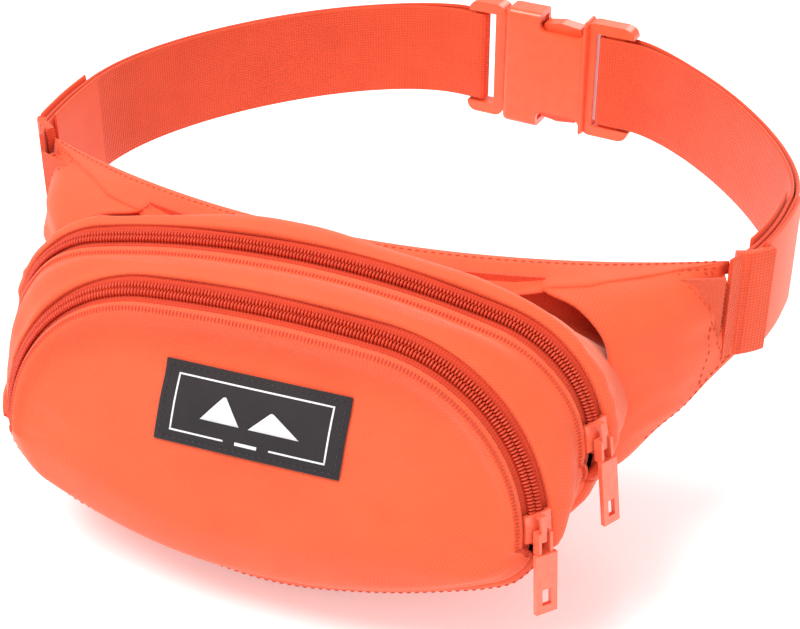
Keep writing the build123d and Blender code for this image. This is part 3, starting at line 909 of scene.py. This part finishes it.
def smooth_line(pts, step=2.0):
    """Evenly spaced points on a smooth curve through the given ones."""
    pts = np.array(pts)
    pad_pts = np.vstack([2 * pts[0] - pts[1], pts, 2 * pts[-1] - pts[-2]])
    out = []
    for i in range(1, len(pad_pts) - 2):
        p0, p1, p2, p3 = pad_pts[i - 1:i + 3]
        n = max(1, int(np.linalg.norm(p2 - p1) / step))
        for k in range(n):
            t = k / n
            out.append(0.5 * (2 * p1 + (p2 - p0) * t + (2 * p0 - 5 * p1 + 4 * p2 - p3) * t * t
                              + (3 * p1 - p0 - 3 * p2 + p3) * t ** 3))
    out.append(pts[-1])
    return np.array(out)


def spread(d):
    k = min(1.0, max(0.0, 1.0 - (d - FLAT) / 36.0))
    return 0.4 + (2.0 * BAR_R + 0.2) * k * k


def plan_normals(pts, side):
    d = np.gradient(pts, axis=0)
    d /= np.linalg.norm(d, axis=1, keepdims=True)
    return np.stack([side * d[:, 1], -side * d[:, 0]], axis=1)


def belt_paths(side):
    """Middle line of the inner layer, of the turn round the bar and of the outer layer."""
    line = smooth_line(belt_line(side))
    nor = plan_normals(line, side)
    last = line[-1]
    inner = line + nor * WEB_T / 2
    gap = np.array([spread(np.linalg.norm(p - last)) for p in line])
    outer = line + nor * (WEB_T * 1.5 + gap)[:, None]
    turn = []
    for k in range(1, 12):
        a = math.pi * k / 12
        r = BAR_R + 0.3 + WEB_T / 2
        turn.append(buckle_plan(LOOP_X[side] - side * r * math.sin(a), -r * math.cos(a)))
    return inner, np.array(turn), outer


def ribbon(name, path, half, thick, flip=False, wavy=0.0, seed=0.0, lean=0.0):
    """Flat webbing along a plan path, with rounded edges and a UV map in metres."""
    path = np.array(path)
    d = np.gradient(path, axis=0)
    d /= np.maximum(np.linalg.norm(d, axis=1, keepdims=True), 1e-9)
    nor = np.stack([d[:, 1], -d[:, 0]], axis=1)
    levels = [(-1.0, 0.0), (-0.985, 0.8), (-0.94, 1.0), (-0.6, 1.0), (-0.2, 1.0), (0.2, 1.0), (0.6, 1.0),
              (0.94, 1.0), (0.985, 0.8), (1.0, 0.0)]
    loop = [(z, f) for z, f in levels] + [(z, -f) for z, f in levels[-2:0:-1]]
    verts, faces, uvs = [], [], []
    dist = np.concatenate([[0.0], np.cumsum(np.linalg.norm(np.diff(path, axis=0), axis=1))])
    m = len(loop)
    for i, p in enumerate(path):
        for z, f in loop:
            off = wavy * noise.noise(Vector((dist[i] / 45.0 + seed, z * 0.8, seed)))
            q = p + nor[i] * (f * thick / 2 + off)
            zz = z * half + wavy * 0.6 * noise.noise(Vector((dist[i] / 60.0, seed + 3.0, 0.0)))
            verts.append((q[0] * MM, q[1] * MM, zz * MM))
            uvs.append((dist[i] * MM, z * half * MM))
    for i in range(len(path) - 1):
        for k in range(m):
            f = (i * m + k, i * m + (k + 1) % m, (i + 1) * m + (k + 1) % m, (i + 1) * m + k)
            faces.append(f)
    faces.append(tuple(range(m))[::-1])
    faces.append(tuple((len(path) - 1) * m + k for k in range(m)))
    mesh = bpy.data.meshes.new(name)
    mesh.from_pydata(verts, [], faces)
    layer = mesh.uv_layers.new(name="cloth")
    for loop_item in mesh.loops:
        layer.data[loop_item.index].uv = uvs[loop_item.vertex_index]
    mesh.polygons.foreach_set("use_smooth", [True] * len(mesh.polygons))
    obj = bpy.data.objects.new(name, mesh)
    bpy.context.scene.collection.objects.link(obj)
    bpy.ops.object.select_all(action="DESELECT")
    obj.select_set(True)
    bpy.context.view_layer.objects.active = obj
    bpy.ops.object.mode_set(mode="EDIT")
    bpy.ops.mesh.select_all(action="SELECT")
    bpy.ops.mesh.normals_make_consistent(inside=False)
    bpy.ops.object.mode_set(mode="OBJECT")
    bpy.ops.object.shade_smooth_by_angle(angle=0.9)
    return obj


# %% The two webbings
for side, word, body in ((1, "right", "socket"), (-1, "left", "plug")):
    inner, turn, outer = belt_paths(side)
    tail = outer[::-1][:-3]
    path = np.vstack([inner, turn, tail])
    web = ribbon("webbing_" + word, path, 19.0, 1.4)
    web.data.materials.append(WEBBING)
    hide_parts("strap_" + word)
    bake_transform(web)
    shift = 0.0 if side > 0 else 3.0
    hem_line = [(side * 123.8 + shift * 0.5, 27.2), (side * 127.2 + shift, 28.6),
                (side * 129.6 + shift, 30.4), (side * 132.0 + shift, 32.6),
                (side * 134.0 + shift, 35.0)]
    hem = ribbon("hem_" + word, hem_line, 19.2, 3.2)
    dress(hem, WEBBING, "pack")
    keep_inner, keep_outer = [], []
    sel = [i for i in range(len(inner)) if i < len(inner) / 2 and 34.0 <= inner[i][1] <= 72.0]
    nor = plan_normals(inner, side)
    for i in sel:
        keep_inner.append(inner[i] - nor[i] * 1.6)
        keep_outer.append(outer[i] + nor[i] * 1.6)
    for label, line in (("in", keep_inner), ("out", keep_outer)):
        cover = ribbon("keeper_%s_%s" % (word, label), line, 20.6, 1.0)
        dress(cover, SMOOTH_TAPE, "pack", ["keeper_" + word] if label == "out" else ())

# %% [markdown]
# ## Hardware
# The buckle, sliders and pulls keep their CAD shapes and get moulded finishes.
# The lining and the divider lie out of sight inside, and keep theirs too.

# %% Hardware finishes
HARDWARE = {
    "buckle_socket": ACETAL, "buckle_plug": ACETAL, "prong_upper": ACETAL, "prong_lower": ACETAL,
    "main_slider": PAINTED, "main_pull": PAINTED, "pocket_slider": PAINTED, "pocket_pull": PAINTED,
    "back_lining": LINING, "pocket_divider": LINING,
}
for name, finish in HARDWARE.items():
    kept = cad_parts[name]
    obj = bpy.data.objects[name] if isinstance(kept, str) else kept
    obj.data.materials.clear()
    obj.data.materials.append(finish)
print("finished CAD pieces", len(HARDWARE))

# %% [markdown]
# ## Studio
# A pale floor, a large soft light from above and a camera in front and to the
# right, looking down at the pack.

# %% Floor, lights and camera
bpy.context.scene.view_settings.view_transform = "Standard"
bpy.ops.mesh.primitive_plane_add(size=6.0, location=(0, 0, -0.080))
floor = bpy.context.object
floor.name = "floor"
floor_mat, floor_tree, floor_bsdf = shader("pale_floor", (0.9, 0.9, 0.9), 0.9)
floor.data.materials.append(floor_mat)
floor_bsdf.inputs["Emission Color"].default_value = (1.0, 1.0, 1.0, 1.0)
floor_bsdf.inputs["Emission Strength"].default_value = 0.24


def area(name, place, target, size, power):
    light = bpy.data.lights.new(name, "AREA")
    light.shape = "DISK"
    light.size = size
    light.energy = power
    obj = bpy.data.objects.new(name, light)
    obj.location = place
    obj.rotation_euler = (Vector(target) - Vector(place)).to_track_quat("-Z", "Y").to_euler()
    bpy.context.scene.collection.objects.link(obj)


area("key", (-0.5, -0.5, 1.3), (0, 0.05, 0), 0.8, 19.0)
area("fill", (1.2, -0.9, 0.7), (0, 0.05, 0), 1.2, 6.5)
area("back", (0.2, 1.3, 0.9), (0, 0.05, 0), 1.0, 9.0)
world = bpy.data.worlds.new("studio")
world.use_nodes = True
world.node_tree.nodes["Background"].inputs[0].default_value = (1, 1, 1, 1)
world.node_tree.nodes["Background"].inputs[1].default_value = 0.6
bpy.context.scene.world = world

camera_data = bpy.data.cameras.new("camera")
camera_data.lens = 75.81
camera_data.sensor_width = 36.0
camera = bpy.data.objects.new("camera", camera_data)
camera.location = (0.18613, -0.43629, 0.28667)
look = Vector((-0.29796, 0.78845, -0.53811))
camera.rotation_euler = look.to_track_quat("-Z", "Y").to_euler()
bpy.context.scene.collection.objects.link(camera)
bpy.context.scene.camera = camera
